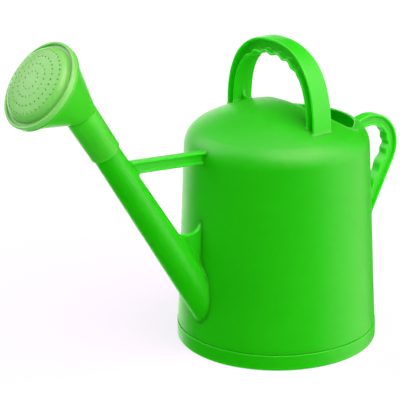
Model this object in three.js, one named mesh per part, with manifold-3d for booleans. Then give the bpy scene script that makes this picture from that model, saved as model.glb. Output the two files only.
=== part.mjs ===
// Eight-litre garden watering can: tank, base, spout, brace, two handles and a rose in three pieces.
// Millimetres, +Z up. The origin is the centre of the underside, on the floor.
// The spout points towards -X and the rear handle towards +X; the can is symmetric about y = 0.

import * as THREE from 'three';
import { mergeVertices } from 'three/addons/utils/BufferGeometryUtils.js';
import Module from 'manifold-3d';

const wasm = await Module();
wasm.setup();

// ---------------------------------------------------------------- driving dimensions

const GAP = 0.3;
const OVERLAP = 1;
const CUT_MARGIN = 30;
const WALL = 2.2;
const ROUND_STEPS = 48;
const ROSE_STEPS = 36;
const PIPE_STEPS = 32;

const BASE_RADIUS = 115;
const BASE_CORNER = 2.6;
const BASE_FLOOR = 5;
const BAND_HEIGHT = 18.5;
const FOOT_INNER_RADIUS = 97;
const PAD_RADIUS = 25;
const UNDERSIDE_RECESS = 2.5;
const RIB_COUNT = 8;
const RIB_WIDTH = 3;

const WALL_BOTTOM_RADIUS = 114.2;
const WALL_TOP_RADIUS = 105;
const WALL_TOP_Z = 230;
const SHOULDER_RADIUS = 28.8;
const DOME_RADIUS = 186;

const MOUTH_Z = 250;
const MOUTH_FRONT_X = 56;
const MOUTH_ARC_X = 26;
const MOUTH_ARC_RADIUS = 67;
const MOUTH_CORNER = 6;
const RIDGE_X = 14;
const RIDGE_Z = 278.5;

const SPOUT_X = -108.2;
const SPOUT_Z = 70.7;
const SPOUT_ANGLE = THREE.MathUtils.degToRad(57.6);
const SPOUT_RADIUS = 19.1;
const SPOUT_TAPER = 0.016;
const SPOUT_START = -38;
const SPOUT_TIP = 275;
const GUSSET_THICKNESS = 5;
const GUSSET_WALL_Z = 161;
const GUSSET_LOW_Z = 149;
const GUSSET_ROOT_Z = 80;
const GUSSET_TOE = 2;
const GUSSET_ROUND = 5;
const GUSSET_RUN = 16;
const GUSSET_RISE = 6;

const BRACE_TANK_X = -98;
const BRACE_TANK_Z = 240.6;
const BRACE_SPOUT_X = -206;
const BRACE_SPOUT_Z = 249.3;
const BRACE_HEIGHT = 14.2;
const BRACE_TOP_WIDTH = 10;
const BRACE_FOOT_WIDTH = 6;
const BRACE_SKIN = 2.6;

const FLANGE = 2.8;
const ARCH_WEB = 10;
const REAR_WEB = 6;

const ARCH_X = 1.8;
const ARCH_WIDTH = 25.4;
const ARCH_TAPER_Z = 288;
const ARCH_NECK_WIDTH = 23.5;
const ARCH_NECK_Z = 330;
const ARCH_TOP_WIDTH = 18.5;
const ARCH_HALF_SPAN = 77.9;
const ARCH_SPRING_Z = 256.4;
const ARCH_RISE = 95.6;
const ARCH_POWER_Y = 2.4;
const ARCH_POWER_Z = 2.5;
const ARCH_DEPTH = 13.6;
const ARCH_TOP_DEPTH = 15.6;
const ARCH_DEEP_HALF_LENGTH = 115;
const ARCH_GRIP = 2.8;
const ARCH_GRIP_PITCH = 23.5;
const ARCH_GRIP_HALF_LENGTH = 70;
const FIN_THICKNESS = 3;
const FIN_BASE_Z = 262;
const FIN_TOP_Z = 279.5;
const FIN_BEND_Z = 271.4;
const FIN_TOE_Z = 269.2;
const FIN_RUN = 11;
const ARCH_STEPS = 60;

const REAR_WIDTH = 13;
const REAR_ARC_X = 136;
const REAR_ARC_Z = 197.8;
const REAR_ARC_RADIUS = 41.3;
const REAR_ARC_START = THREE.MathUtils.degToRad(125);
const REAR_ARC_END = THREE.MathUtils.degToRad(-27.7);
const REAR_ROOT_LENGTH = 18;
const REAR_LEG_LENGTH = 141;
const REAR_DEPTH = 13.4;
const REAR_LEG_DEPTH = 15.6;
const REAR_GRIP = 2.2;
const REAR_GRIP_PITCH = 21;
const REAR_DEPTH_CHANGE = 40;
const REAR_ARC_STEPS = 26;
const REAR_LEG_STEPS = 28;

const SLEEVE_START = 232;
const SLEEVE_END = 287;
const SLEEVE_RADIUS_START = 17.25;
const SLEEVE_RADIUS_END = 18;
const SLEEVE_BORE = 15.75;
const ROSE_BORE = 13;

const ROSE_X = -309.6;
const ROSE_Z = 352.6;
const ROSE_ANGLE = THREE.MathUtils.degToRad(37);
const ROSE_RADIUS = 49.7;
const ROSE_BULGE = 14;
const FACE_SKIN = 2;
const FACE_DOME_RADIUS = 41.5;
const FACE_EDGE_Z = 7.6;
const FACE_WALL_RADIUS = 43.3;
const FACE_WALL_TOP_Z = 5.8;
const FACE_GROOVE_RADIUS = 45;
const FACE_GROOVE_Z = 1;
const FACE_BEAD_Z = 2.4;
const FACE_BEAD_CORNER = 1.2;
const FACE_SKIRT = 3.6;
const FACE_STEPS = 4;
const FUNNEL_RIM_RADIUS = 49.1;
const FUNNEL_RIM_DEPTH = 7;
const FUNNEL_CONE_RADIUS = 47.9;
const FUNNEL_CONE_DEPTH = 5;
const SPIGOT_RADIUS = 46.9;
const SPIGOT_TOP = -1;
const FUNNEL_BORE = 44.8;
const SPRAY_RINGS = [
  { radius: 10, count: 12 },
  { radius: 19, count: 20 },
  { radius: 28, count: 30 },
  { radius: 36.5, count: 40 },
];
const SPRAY_HOLE_RADIUS = 0.8;

// ---------------------------------------------------------------- geometry helpers

const point2 = (x, y) => new THREE.Vector2(x, y);
const vector = (x, y, z) => new THREE.Vector3(x, y, z);

function toSolid(geometry) {
  geometry.deleteAttribute('normal');
  geometry.deleteAttribute('uv');
  const merged = mergeVertices(geometry, 1e-4);
  const triVerts = [];
  for (let i = 0; i < merged.index.count; i += 3) {
    const corners = [0, 1, 2].map((k) => merged.index.getX(i + k));
    if (new Set(corners).size === 3) triVerts.push(...corners);
  }
  const vertProperties = new Float32Array(merged.attributes.position.array);
  return new wasm.Manifold(new wasm.Mesh({
    numProp: 3,
    vertProperties,
    triVerts: new Uint32Array(triVerts),
  }));
}

function toGeometry(solid) {
  const { vertProperties, triVerts } = solid.getMesh();
  const geometry = new THREE.BufferGeometry();
  geometry.setAttribute('position', new THREE.BufferAttribute(vertProperties, 3));
  geometry.setIndex(new THREE.BufferAttribute(triVerts, 1));
  geometry.computeVertexNormals();
  return geometry;
}

// A matrix whose local z axis leans from +Z towards -X, to the given angle above the horizontal.
function leaningFrame(x, z, angle) {
  const along = vector(-Math.cos(angle), 0, Math.sin(angle));
  const across = vector(Math.sin(angle), 0, Math.cos(angle));
  return new THREE.Matrix4().makeBasis(across, vector(0, 1, 0), along).setPosition(x, 0, z);
}

const spoutFrame = leaningFrame(SPOUT_X, SPOUT_Z, SPOUT_ANGLE);
const roseFrame = leaningFrame(ROSE_X, ROSE_Z, ROSE_ANGLE);

// A solid of revolution about +Z, or about the z axis of a frame.
function turned(profile, steps, frame = new THREE.Matrix4()) {
  const geometry = new THREE.LatheGeometry(profile, steps);
  geometry.rotateX(Math.PI / 2);
  geometry.applyMatrix4(frame);
  return toSolid(geometry);
}

function frustum(start, end, startRadius, endRadius, steps, frame) {
  const sides = [point2(startRadius, start), point2(endRadius, end)];
  return turned([point2(0, start), ...sides, point2(0, end)], steps, frame);
}

// A flat outline raised to a prism from z = 0.
function prism(outline, depth) {
  return new THREE.ExtrudeGeometry(outline, { depth, bevelEnabled: false });
}

// A slab of an outline drawn in x and z, centred on y = 0.
function slabXZ(points, thickness) {
  const geometry = prism(new THREE.Shape(points), thickness);
  geometry.translate(0, 0, -thickness / 2);
  geometry.rotateX(Math.PI / 2);
  return toSolid(geometry);
}

// A slab of an outline drawn in y and z, centred on the plane x = centre.
function slabYZ(points, thickness, centre) {
  const geometry = prism(new THREE.Shape(points), thickness);
  geometry.translate(0, 0, centre - thickness / 2);
  const basis = new THREE.Matrix4().makeBasis(vector(0, 1, 0), vector(0, 0, 1), vector(1, 0, 0));
  geometry.applyMatrix4(basis);
  return toSolid(geometry);
}

function arcPoints(x, y, radius, from, to, steps) {
  const points = [];
  for (let i = 0; i <= steps; i += 1) {
    const angle = from + ((to - from) * i) / steps;
    points.push(point2(x + radius * Math.cos(angle), y + radius * Math.sin(angle)));
  }
  return points;
}

// ---------------------------------------------------------------- tank

// The wall, shoulder and dome as one tangent outline, moved outwards by the given amount.
function tankOutline(outwards, shoulderSteps = 6, domeSteps = 7) {
  const lean = Math.atan2(WALL_BOTTOM_RADIUS - WALL_TOP_RADIUS, WALL_TOP_Z - BAND_HEIGHT);
  const shoulderX = WALL_TOP_RADIUS - SHOULDER_RADIUS * Math.cos(lean);
  const shoulderZ = WALL_TOP_Z - SHOULDER_RADIUS * Math.sin(lean);
  const reach = DOME_RADIUS - SHOULDER_RADIUS;
  const domeZ = shoulderZ - Math.sqrt(reach ** 2 - shoulderX ** 2);
  const join = Math.atan2(shoulderZ - domeZ, shoulderX);
  const shoulder = arcPoints(shoulderX, shoulderZ, SHOULDER_RADIUS + outwards, lean, join, shoulderSteps);
  const dome = arcPoints(0, domeZ, DOME_RADIUS + outwards, join, Math.PI / 2, domeSteps).slice(1, -1);
  return [...shoulder, ...dome, point2(0, domeZ + DOME_RADIUS + outwards)];
}

const rimZ = BASE_FLOOR + GAP;
const rebateRadius = BASE_RADIUS - WALL - GAP;
const rebateTop = BAND_HEIGHT + GAP;

// The space the whole tank fills, down to the underside, for cutting what is joined on to it.
function tankBlock(outwards) {
  const radius = WALL_BOTTOM_RADIUS + outwards;
  const foot = [point2(0, rimZ), point2(radius, rimZ), point2(radius, rebateTop)];
  return turned([...foot, ...tankOutline(outwards)], ROUND_STEPS);
}

const deckSlope = (RIDGE_Z - MOUTH_Z) / (MOUTH_FRONT_X - RIDGE_X);

// Everything above the deck that slopes down to the mouth, and above the level rim of the mouth.
function spaceAboveDeck(down) {
  const backX = RIDGE_X - CUT_MARGIN;
  const reach = BASE_RADIUS + CUT_MARGIN;
  const points = [
    point2(backX, MOUTH_Z - down + deckSlope * (MOUTH_FRONT_X - backX)),
    point2(MOUTH_FRONT_X, MOUTH_Z - down),
    point2(reach, MOUTH_Z - down),
    point2(reach, RIDGE_Z + CUT_MARGIN),
    point2(backX, RIDGE_Z + CUT_MARGIN),
  ];
  return slabXZ(points, 2 * reach);
}

// The mouth in plan: straight in front, an arc behind, with rounded corners.
function mouthOutline() {
  const cornerX = MOUTH_FRONT_X + MOUTH_CORNER;
  const reach = MOUTH_ARC_RADIUS - MOUTH_CORNER;
  const cornerY = Math.sqrt(reach ** 2 - (cornerX - MOUTH_ARC_X) ** 2);
  const join = Math.atan2(cornerY, cornerX - MOUTH_ARC_X);
  return [
    ...arcPoints(cornerX, -cornerY, MOUTH_CORNER, -Math.PI, -join, 6),
    ...arcPoints(MOUTH_ARC_X, 0, MOUTH_ARC_RADIUS, -join, join, 12).slice(1, -1),
    ...arcPoints(cornerX, cornerY, MOUTH_CORNER, join, Math.PI, 6),
  ];
}

function mouthCutter() {
  const geometry = prism(new THREE.Shape(mouthOutline()), CUT_MARGIN);
  geometry.translate(0, 0, MOUTH_Z - CUT_MARGIN / 2);
  return toSolid(geometry);
}

const spoutRadiusAt = (s) => SPOUT_RADIUS - SPOUT_TAPER * s;

function spoutCone(outwards, from, to) {
  const startRadius = spoutRadiusAt(from) + outwards;
  const endRadius = spoutRadiusAt(to) + outwards;
  return frustum(from, to, startRadius, endRadius, PIPE_STEPS, spoutFrame);
}

function makeTank() {
  const foot = [point2(0, rimZ), point2(rebateRadius, rimZ), point2(rebateRadius, rebateTop)];
  const outside = turned([...foot, point2(WALL_BOTTOM_RADIUS, rebateTop), ...tankOutline(0)], ROUND_STEPS);
  const footInner = rebateRadius - WALL;
  const below = rimZ - OVERLAP;
  const hollowFoot = [point2(0, below), point2(footInner, below), point2(footInner, rebateTop)];
  const hollow = turned([...hollowFoot, ...tankOutline(-WALL)], ROUND_STEPS);
  const inside = hollow.subtract(spaceAboveDeck(WALL * Math.hypot(1, deckSlope)));
  const shell = outside.subtract(spaceAboveDeck(0)).subtract(inside);
  return shell.subtract(mouthCutter()).subtract(spoutCone(-WALL, SPOUT_START, CUT_MARGIN));
}

// ---------------------------------------------------------------- base

function makeBase() {
  const skirtInner = BASE_RADIUS - WALL;
  const profile = [
    point2(0, 0),
    point2(PAD_RADIUS, 0),
    point2(PAD_RADIUS, UNDERSIDE_RECESS),
    point2(FOOT_INNER_RADIUS, UNDERSIDE_RECESS),
    point2(FOOT_INNER_RADIUS, 0),
    ...arcPoints(BASE_RADIUS - BASE_CORNER, BASE_CORNER, BASE_CORNER, -Math.PI / 2, 0, 4),
    point2(BASE_RADIUS, BAND_HEIGHT),
    point2(skirtInner, BAND_HEIGHT),
    point2(skirtInner, BASE_FLOOR),
    point2(0, BASE_FLOOR),
  ];
  let base = turned(profile, ROUND_STEPS);
  const ribLength = FOOT_INNER_RADIUS - PAD_RADIUS + 2 * OVERLAP;
  const ribHeight = UNDERSIDE_RECESS + OVERLAP;
  for (let i = 0; i < RIB_COUNT; i += 1) {
    const rib = new THREE.BoxGeometry(ribLength, RIB_WIDTH, ribHeight);
    rib.translate((FOOT_INNER_RADIUS + PAD_RADIUS) / 2, 0, ribHeight / 2);
    rib.rotateZ(((i + 0.5) * 2 * Math.PI) / RIB_COUNT);
    base = base.add(toSolid(rib));
  }
  return base;
}

// ---------------------------------------------------------------- spout and brace

function gussetOutline() {
  const spoutSide = (z) => SPOUT_X - (z - SPOUT_Z) / Math.tan(SPOUT_ANGLE);
  const wallX = -WALL_TOP_RADIUS;
  const toeX = -WALL_BOTTOM_RADIUS - GUSSET_TOE;
  return [
    point2(spoutSide(GUSSET_ROOT_Z), GUSSET_ROOT_Z),
    point2(wallX, GUSSET_ROOT_Z),
    point2(wallX, GUSSET_WALL_Z + GUSSET_TOE),
    point2(toeX + GUSSET_ROUND, GUSSET_WALL_Z),
    point2(toeX, (GUSSET_WALL_Z + GUSSET_LOW_Z) / 2),
    point2(toeX - GUSSET_ROUND, GUSSET_LOW_Z),
    point2(toeX - GUSSET_RUN, GUSSET_LOW_Z),
    point2(spoutSide(GUSSET_LOW_Z + GUSSET_RISE), GUSSET_LOW_Z + GUSSET_RISE),
  ];
}

function makeSpout() {
  const outside = spoutCone(0, SPOUT_START, SPOUT_TIP).add(slabXZ(gussetOutline(), GUSSET_THICKNESS));
  const bore = spoutCone(-WALL, SPOUT_START - OVERLAP, SPOUT_TIP + OVERLAP);
  return outside.subtract(tankBlock(GAP)).subtract(bore);
}

function braceSection() {
  const top = BRACE_TOP_WIDTH / 2;
  const foot = BRACE_FOOT_WIDTH / 2;
  const web = BRACE_SKIN / 2;
  const right = [
    point2(foot, -BRACE_HEIGHT),
    point2(foot, -BRACE_HEIGHT + BRACE_SKIN),
    point2(web, -BRACE_HEIGHT + BRACE_SKIN),
    point2(web, -BRACE_SKIN),
    point2(top, -BRACE_SKIN),
    point2(top, 0),
  ];
  const left = right.map((p) => point2(-p.x, p.y)).reverse();
  return new THREE.Shape([...right, ...left]);
}

function makeBrace() {
  const start = vector(BRACE_TANK_X, 0, BRACE_TANK_Z);
  const run = vector(BRACE_SPOUT_X, 0, BRACE_SPOUT_Z).sub(start);
  const along = run.clone().normalize();
  const side = vector(0, -1, 0);
  const up = new THREE.Vector3().crossVectors(along, side);
  const geometry = prism(braceSection(), run.length());
  geometry.applyMatrix4(new THREE.Matrix4().makeBasis(side, up, along).setPosition(start));
  return toSolid(geometry).subtract(tankBlock(GAP)).subtract(spoutCone(GAP, 0, SPOUT_TIP));
}

// ---------------------------------------------------------------- handles

// Adds the running length and the inward normal to the points of a handle's outer edge.
function rail(points) {
  let length = 0;
  return points.map((p, i) => {
    const before = points[Math.max(i - 1, 0)];
    const after = points[Math.min(i + 1, points.length - 1)];
    const along = after.clone().sub(before).normalize();
    if (i > 0) length += p.distanceTo(before);
    return { p, length, inward: point2(along.y, -along.x) };
  });
}

// The strip of a handle between two depths measured inwards from its outer edge.
function strip(stations, near, far) {
  const edge = (depth) => stations.map((s) => s.p.clone().addScaledVector(s.inward, depth(s.length)));
  return [...edge(near), ...edge(far).reverse()];
}

// An I-shaped handle: outer flange, web and gripped inner flange.
function channelHandle(stations, depth, width, thickness, slab) {
  const outer = slab(strip(stations, () => 0, () => FLANGE), width);
  const inner = slab(strip(stations, (s) => depth(s) - FLANGE, depth), width);
  const web = slab(strip(stations, () => FLANGE / 2, (s) => depth(s) - FLANGE / 2), thickness);
  return outer.add(inner).add(web);
}

function archPoints(steps) {
  const points = [];
  for (let i = 0; i <= steps; i += 1) {
    const angle = Math.PI - (Math.PI * i) / steps;
    const across = Math.sign(Math.cos(angle)) * Math.abs(Math.cos(angle)) ** (2 / ARCH_POWER_Y);
    const rise = Math.abs(Math.sin(angle)) ** (2 / ARCH_POWER_Z);
    points.push(point2(ARCH_HALF_SPAN * across, ARCH_SPRING_Z + ARCH_RISE * rise));
  }
  return points;
}

// Finger grips: rounded swellings at an even pitch, fading out over the last half pitch.
function gripSwell(distance, halfLength, pitch, height) {
  const fade = THREE.MathUtils.clamp((halfLength - Math.abs(distance)) / (pitch / 2), 0, 1);
  return height * fade * (0.5 + 0.5 * Math.cos((2 * Math.PI * distance) / pitch));
}

// The handle seen along the arch: full width at its feet, narrower at the top.
function archFrontOutline() {
  const sides = [
    [ARCH_WIDTH, 0],
    [ARCH_WIDTH, ARCH_TAPER_Z],
    [ARCH_NECK_WIDTH, ARCH_NECK_Z],
    [ARCH_TOP_WIDTH, ARCH_SPRING_Z + ARCH_RISE + OVERLAP],
  ];
  const right = sides.map(([width, z]) => point2(ARCH_X + width / 2, z));
  const left = sides.map(([width, z]) => point2(ARCH_X - width / 2, z));
  return [...right, ...left.reverse()];
}

// A small fin inside a foot of the handle, on the side of the given sign.
function finOutline(sign) {
  const leg = ARCH_HALF_SPAN - ARCH_DEPTH;
  return [
    point2(sign * (leg + OVERLAP), FIN_BASE_Z),
    point2(sign * (leg + OVERLAP), FIN_TOP_Z),
    point2(sign * (leg - FIN_RUN / 4), FIN_BEND_Z),
    point2(sign * (leg - FIN_RUN), FIN_TOE_Z),
    point2(sign * (leg - FIN_RUN), FIN_BASE_Z),
  ];
}

function makeTopHandle() {
  const stations = rail(archPoints(ARCH_STEPS));
  const middle = stations[stations.length - 1].length / 2;
  const swell = (s) => gripSwell(s - middle, ARCH_GRIP_HALF_LENGTH, ARCH_GRIP_PITCH, ARCH_GRIP);
  const depth = (s) => {
    const fromMiddle = Math.min(Math.abs(s - middle) / ARCH_DEEP_HALF_LENGTH, 1);
    const share = 0.5 + 0.5 * Math.cos(Math.PI * fromMiddle);
    return THREE.MathUtils.lerp(ARCH_DEPTH, ARCH_TOP_DEPTH, share) + swell(s);
  };
  const slab = (points, width) => slabYZ(points, width, ARCH_X);
  const handle = channelHandle(stations, depth, ARCH_WIDTH, ARCH_WEB, slab);
  const fins = slab(finOutline(1), FIN_THICKNESS).add(slab(finOutline(-1), FIN_THICKNESS));
  const widths = slabXZ(archFrontOutline(), 2 * (ARCH_HALF_SPAN + CUT_MARGIN));
  return handle.intersect(widths).add(fins).subtract(tankBlock(GAP));
}

function rearPoints() {
  const sweep = [REAR_ARC_START, REAR_ARC_END, REAR_ARC_STEPS];
  const arc = arcPoints(REAR_ARC_X, REAR_ARC_Z, REAR_ARC_RADIUS, ...sweep);
  const first = arc[0];
  const last = arc[arc.length - 1];
  const rootDirection = point2(-Math.sin(REAR_ARC_START), Math.cos(REAR_ARC_START));
  const legDirection = point2(Math.sin(REAR_ARC_END), -Math.cos(REAR_ARC_END));
  const leg = [];
  for (let i = 1; i <= REAR_LEG_STEPS; i += 1) {
    leg.push(last.clone().addScaledVector(legDirection, (REAR_LEG_LENGTH * i) / REAR_LEG_STEPS));
  }
  return [first.clone().addScaledVector(rootDirection, REAR_ROOT_LENGTH), ...arc, ...leg];
}

function makeRearHandle() {
  const stations = rail(rearPoints());
  const arcLength = REAR_ARC_RADIUS * (REAR_ARC_START - REAR_ARC_END);
  const gripMiddle = REAR_ROOT_LENGTH + arcLength + REAR_GRIP_PITCH / 2;
  const gripHalf = 3 * REAR_GRIP_PITCH;
  const depth = (s) => {
    const pastBend = s - REAR_ROOT_LENGTH - arcLength;
    const down = THREE.MathUtils.clamp(0.5 + pastBend / REAR_DEPTH_CHANGE, 0, 1);
    const base = THREE.MathUtils.lerp(REAR_DEPTH, REAR_LEG_DEPTH, down);
    return base + gripSwell(s - gripMiddle, gripHalf, REAR_GRIP_PITCH, REAR_GRIP);
  };
  return channelHandle(stations, depth, REAR_WIDTH, REAR_WEB, slabXZ).subtract(tankBlock(GAP));
}

// ---------------------------------------------------------------- rose

function makeSleeve() {
  const seat = SPOUT_TIP + GAP;
  const profile = [
    point2(SLEEVE_BORE, SLEEVE_START),
    point2(SLEEVE_RADIUS_START, SLEEVE_START),
    point2(SLEEVE_RADIUS_END, SLEEVE_END),
    point2(ROSE_BORE, SLEEVE_END),
    point2(ROSE_BORE, seat),
    point2(SLEEVE_BORE, seat),
    point2(SLEEVE_BORE, SLEEVE_START),
  ];
  return turned(profile, PIPE_STEPS, spoutFrame);
}

// A cone between a circle square to the spout and a circle square to the rose's own axis.
function leaningCone(spoutRadius, spoutStation, roseRadius, roseStation) {
  const geometry = new THREE.CylinderGeometry(1, 1, 2, ROSE_STEPS, 1);
  geometry.rotateX(Math.PI / 2);
  const position = geometry.attributes.position;
  for (let i = 0; i < position.count; i += 1) {
    const atRose = position.getZ(i) > 0;
    const radius = atRose ? roseRadius : spoutRadius;
    const station = atRose ? roseStation : spoutStation;
    const place = vector(position.getX(i) * radius, position.getY(i) * radius, station);
    place.applyMatrix4(atRose ? roseFrame : spoutFrame);
    position.setXYZ(i, place.x, place.y, place.z);
  }
  return toSolid(geometry);
}

function makeFunnel() {
  const start = SLEEVE_END + GAP;
  const lip = -FACE_SKIRT - GAP;
  const outside = leaningCone(SLEEVE_RADIUS_END, start, FUNNEL_CONE_RADIUS, -FUNNEL_CONE_DEPTH)
    .add(frustum(-FUNNEL_RIM_DEPTH, lip, FUNNEL_RIM_RADIUS, FUNNEL_RIM_RADIUS, ROSE_STEPS, roseFrame))
    .add(frustum(lip - OVERLAP, SPIGOT_TOP, SPIGOT_RADIUS, SPIGOT_RADIUS, ROSE_STEPS, roseFrame));
  const inside = leaningCone(ROSE_BORE, start - OVERLAP, FUNNEL_BORE, -FUNNEL_CONE_DEPTH)
    .add(frustum(-FUNNEL_CONE_DEPTH - OVERLAP, OVERLAP, FUNNEL_BORE, FUNNEL_BORE, ROSE_STEPS, roseFrame));
  return outside.subtract(inside);
}

// Half of a shallow spherical cap, from its edge to its crown.
function capPoints(edgeRadius, edgeHeight, crownHeight, steps) {
  const rise = crownHeight - edgeHeight;
  const radius = (edgeRadius ** 2 + rise ** 2) / (2 * rise);
  const from = Math.acos(edgeRadius / radius);
  return arcPoints(0, crownHeight - radius, radius, from, Math.PI / 2, steps);
}

function makeFace() {
  const skirtInner = SPIGOT_RADIUS + GAP;
  const crown = ROSE_BULGE - FACE_SKIN;
  const outer = capPoints(FACE_DOME_RADIUS, FACE_EDGE_Z, ROSE_BULGE, FACE_STEPS).slice(0, -1);
  const innerEdge = FACE_DOME_RADIUS - OVERLAP;
  const inner = capPoints(innerEdge, FACE_EDGE_Z - FACE_SKIN, crown, FACE_STEPS).slice(0, -1);
  const profile = [
    point2(0, crown),
    ...inner.reverse(),
    point2(FACE_WALL_RADIUS - FACE_SKIN, FACE_EDGE_Z - FACE_SKIN - OVERLAP / 2),
    point2(FACE_WALL_RADIUS - FACE_SKIN, SPIGOT_TOP + GAP),
    point2(skirtInner, SPIGOT_TOP + GAP),
    point2(skirtInner, -FACE_SKIRT),
    point2(ROSE_RADIUS, -FACE_SKIRT),
    point2(ROSE_RADIUS, 0),
    point2(ROSE_RADIUS - FACE_BEAD_CORNER, FACE_BEAD_Z - FACE_BEAD_CORNER / 2),
    point2((ROSE_RADIUS + FACE_GROOVE_RADIUS) / 2, FACE_BEAD_Z),
    point2(FACE_GROOVE_RADIUS + FACE_BEAD_CORNER, FACE_BEAD_Z - FACE_BEAD_CORNER / 2),
    point2(FACE_GROOVE_RADIUS, FACE_GROOVE_Z),
    point2(FACE_WALL_RADIUS, FACE_GROOVE_Z),
    point2(FACE_WALL_RADIUS, FACE_WALL_TOP_Z),
    ...outer,
    point2(0, ROSE_BULGE),
  ];
  let face = turned(profile, ROSE_STEPS, roseFrame);
  for (const { radius, count } of SPRAY_RINGS) {
    for (let i = 0; i < count; i += 1) {
      const angle = (2 * Math.PI * i) / count;
      const hole = new THREE.CylinderGeometry(SPRAY_HOLE_RADIUS, SPRAY_HOLE_RADIUS, 2 * ROSE_BULGE, 4);
      hole.rotateX(Math.PI / 2);
      hole.translate(radius * Math.cos(angle), radius * Math.sin(angle), ROSE_BULGE);
      hole.applyMatrix4(roseFrame);
      face = face.subtract(toSolid(hole));
    }
  }
  return face;
}

// ---------------------------------------------------------------- assembly

const group = new THREE.Group();

function addPiece(name, solid, color, roughness) {
  const material = new THREE.MeshStandardMaterial({ color, roughness, metalness: 0 });
  const mesh = new THREE.Mesh(toGeometry(solid), material);
  mesh.name = name;
  group.add(mesh);
}

addPiece('tank', makeTank(), 0x35c81c, 0.38);
addPiece('base_plate', makeBase(), 0x35c81c, 0.4);
addPiece('spout', makeSpout(), 0x35c81c, 0.36);
addPiece('spout_brace', makeBrace(), 0x38cc1e, 0.38);
addPiece('top_handle', makeTopHandle(), 0x38cc1e, 0.36);
addPiece('rear_handle', makeRearHandle(), 0x38cc1e, 0.36);
addPiece('rose_sleeve', makeSleeve(), 0x3cc823, 0.34);
addPiece('rose_funnel', makeFunnel(), 0x3cc823, 0.34);
addPiece('rose_face', makeFace(), 0x58d83c, 0.36);

export default group;
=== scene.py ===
"""A green plastic garden watering can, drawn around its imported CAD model.

Shapes are worked out in millimetres in the CAD frame (+Z up, spout towards -X) and stored in metres.
"""

import math

import bpy
import numpy as np
from mathutils import Matrix, Vector


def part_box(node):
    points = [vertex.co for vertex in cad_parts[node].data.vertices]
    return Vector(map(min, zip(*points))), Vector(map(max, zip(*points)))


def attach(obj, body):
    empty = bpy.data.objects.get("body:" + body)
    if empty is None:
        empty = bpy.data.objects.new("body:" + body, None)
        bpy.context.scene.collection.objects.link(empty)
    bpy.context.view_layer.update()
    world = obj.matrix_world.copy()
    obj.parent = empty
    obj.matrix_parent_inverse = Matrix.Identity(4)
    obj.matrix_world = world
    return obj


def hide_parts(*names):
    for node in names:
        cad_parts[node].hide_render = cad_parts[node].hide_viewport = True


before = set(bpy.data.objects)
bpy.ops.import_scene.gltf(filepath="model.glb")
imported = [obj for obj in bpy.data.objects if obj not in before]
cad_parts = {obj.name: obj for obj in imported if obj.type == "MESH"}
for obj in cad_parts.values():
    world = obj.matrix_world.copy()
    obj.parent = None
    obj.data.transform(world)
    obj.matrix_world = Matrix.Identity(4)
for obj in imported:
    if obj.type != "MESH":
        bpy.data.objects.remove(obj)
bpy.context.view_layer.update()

MM = 0.001


def box_mm(node):
    low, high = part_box(node)
    return np.array(low) / MM, np.array(high) / MM


# ---------------------------------------------------------------- driving dimensions, millimetres

GAP = 0.3
SEAM = GAP / 2
WALL = 2.2
RIM_EDGE = 0.3
CREASE = 0.1

BASE_RADIUS = box_mm("base_plate")[1][0]
BAND_HEIGHT = box_mm("base_plate")[1][2]
BASE_CORNER = 2.6
BAND_EDGE = 0.7
BASE_FLOOR = 5
FLOOR_EDGE = 0.4
FOOT_INNER_RADIUS = 97
PAD_RADIUS = 25
UNDERSIDE_RECESS = 2.5
FOOT_EDGE = 0.8
PAD_EDGE = 0.6
RIB_COUNT = 8
RIB_WIDTH = 3
RIB_BITE = 0.5
RIB_HEIGHT = UNDERSIDE_RECESS + RIB_BITE
RIB_EDGE = 0.875

WALL_BOTTOM_RADIUS = box_mm("tank")[1][0]
WALL_TOP_RADIUS = 105
WALL_TOP_Z = 230
SHOULDER_RADIUS = 28.8
DOME_RADIUS = 186

MOUTH_Z = 250
MOUTH_FRONT_X = 56
MOUTH_ARC_X = 26
MOUTH_ARC_RADIUS = 67
MOUTH_CORNER = 6
MOUTH_CENTRE_X = 72
RIDGE_X = 14
RIDGE_Z = 278.5
RIDGE_BLEND = 3
DECK_FOOT_BLEND = 6
LIP_RADIUS = WALL / 2
LIP_BEAD = 0.7
LIP_BEAD_PLACE = 1.8
LIP_BEAD_WIDTH = 1.6

SPOUT_X = -108.2
SPOUT_Z = 70.7
SPOUT_ANGLE = math.radians(57.6)
SPOUT_RADIUS = 19.1
SPOUT_TAPER = 0.016
SPOUT_START = -38
SPOUT_TIP = 275
SPOUT_TIP_EDGE = 1.2
SPOUT_BORE_EDGE = 0.8
SPOUT_ROOT_FILLET = 2
GUSSET_THICKNESS = 5
GUSSET_Z = 149.5
GUSSET_FILLET = 13
GUSSET_BITE = 0.8
GUSSET_EDGE = 1.6
GUSSET_BLEND = 7

BRACE_TANK = np.array((-98.0, 240.6))
BRACE_SPOUT = np.array((-206.0, 249.3))
BRACE_HEIGHT = 14.2
BRACE_TOP_WIDTH = 10
BRACE_FOOT_WIDTH = 6
BRACE_SKIN = 2.6
BRACE_EDGE = 0.6
BRACE_WEB_EDGE = 0.2
BRACE_TOP_BLEND = 0.5
BRACE_FOOT_BLEND = 0.9
BRACE_SPOUT_FILLET = 5
BRACE_TANK_FILLET = 3
BRACE_FILLET_REACH = 4

FLANGE = 2.8
FLANGE_EDGE = 0.9
WEB_FILLET = 1.6
HANDLE_ROOT_FILLET = 3
ARCH_WEB = 10
REAR_WEB = 6

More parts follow.
